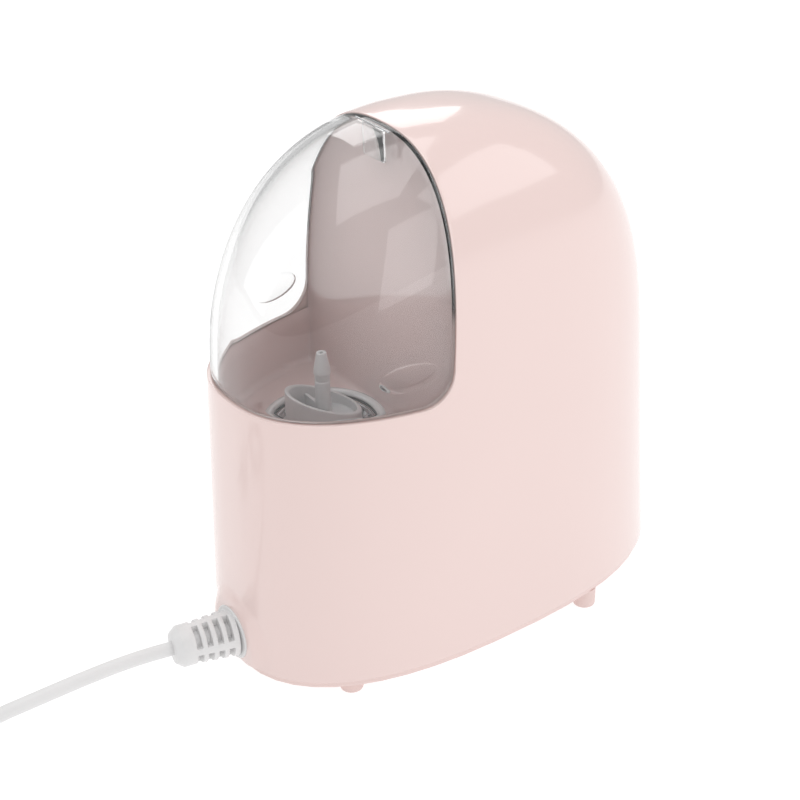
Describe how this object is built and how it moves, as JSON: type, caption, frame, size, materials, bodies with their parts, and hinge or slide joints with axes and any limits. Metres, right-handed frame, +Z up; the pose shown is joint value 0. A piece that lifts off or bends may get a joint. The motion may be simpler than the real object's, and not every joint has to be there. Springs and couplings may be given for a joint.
{
  "type": "bench-top dust collector",
  "caption": "Domed bench-top dust collector with a clear swing-up cover over a round intake, a scoop nozzle with a hose spigot, an inner fan and filter, and a mains lead.",
  "frame": {"origin": "middle of the object's footprint, on the surface it stands on; the cord and its plug don't count", "axes": "+Z up; the clear cover and the lead's exit face -Y; +X is to the right when looking along +Y"},
  "size_m": [0.1632, 0.4274, 0.2169],
  "materials": {
    "shell_pink": "glossy pale pink moulding",
    "base_pink": "satin pale pink moulding",
    "clear_plastic": "clear moulded plastic",
    "light_grey_plastic": "glossy light grey moulding",
    "grey_plastic": "satin grey moulding",
    "dark_rubber": "matte",
    "polished_steel": "polished",
    "motor_steel": "zinc plated",
    "white_plastic": "satin",
    "filter_fabric": "pleated non-woven",
    "dark_plastic": "satin",
    "board_green": "solder mask",
    "winding_yellow": "taped winding",
    "terminal_green": "satin",
    "cord_white": "soft light grey-white jacket",
    "foot_rubber": "matte pinkish rubber"
  },
  "bodies": {
    "housing": {"body_shell": "shell_pink", "hinge_pin": "motor_steel", "chamber_tray": "shell_pink", "ring_gasket": "dark_rubber", "intake_guard": "polished_steel", "filter_frame": "white_plastic", "filter_pleats": "filter_fabric", "fan_housing": "white_plastic", "motor_can": "motor_steel", "motor_endcap": "dark_plastic", "shaft_bearings": "polished_steel", "motor_bracket": "white_plastic", "motor_screws": "polished_steel", "exhaust_duct": "white_plastic", "control_board": "board_green", "transformer": "winding_yellow", "capacitor": "dark_plastic", "terminal_block": "terminal_green", "inner_lead": "cord_white", "button_bezel": "light_grey_plastic", "button_spring": "polished_steel", "switch_body": "dark_plastic", "strain_relief": "cord_white", "relief_clip": "dark_plastic", "base_plate": "base_pink", "base_screws": "polished_steel", "rubber_feet": "foot_rubber", "power_cord": "cord_white", "cord_coil": "cord_white", "cord_tie": "dark_rubber", "cord_tail": "cord_white", "plug_body": "cord_white", "plug_pins": "polished_steel"},
    "cover": {"clear_cover": "clear_plastic"},
    "ring": {"intake_ring": "light_grey_plastic"},
    "nozzle": {"nozzle_cup": "grey_plastic", "hose_spigot": "grey_plastic"},
    "rotor": {"impeller": "dark_plastic", "motor_shaft": "polished_steel"},
    "button": {"power_button": "white_plastic"}
  },
  "joints": [
    {"name": "cover_hinge", "type": "hinge", "parent": "housing", "child": "cover", "pos_m": [0, -0.0297, 0.21384], "axis": [-1, 0, 0], "range_deg": [0, 55]},
    {"name": "ring_twist", "type": "hinge", "parent": "housing", "child": "ring", "pos_m": [0, -0.0547, 0.102], "axis": [0, 0, 1], "range_deg": [0, 35]},
    {"name": "nozzle_swivel", "type": "hinge", "parent": "housing", "child": "nozzle", "pos_m": [0, -0.0547, 0.1], "axis": [0, 0, 1], "range_deg": [-180, 180]},
    {"name": "impeller_spin", "type": "hinge", "parent": "housing", "child": "rotor", "pos_m": [0, -0.0547, 0.06], "axis": [0, 0, 1], "continuous": true},
    {"name": "button_press", "type": "slide", "parent": "housing", "child": "button", "axis": [0, -1, 0], "range_m": [0, 0.0015], "stiffness_N_per_m": 900, "deforming": ["button_spring"]}
  ]
}
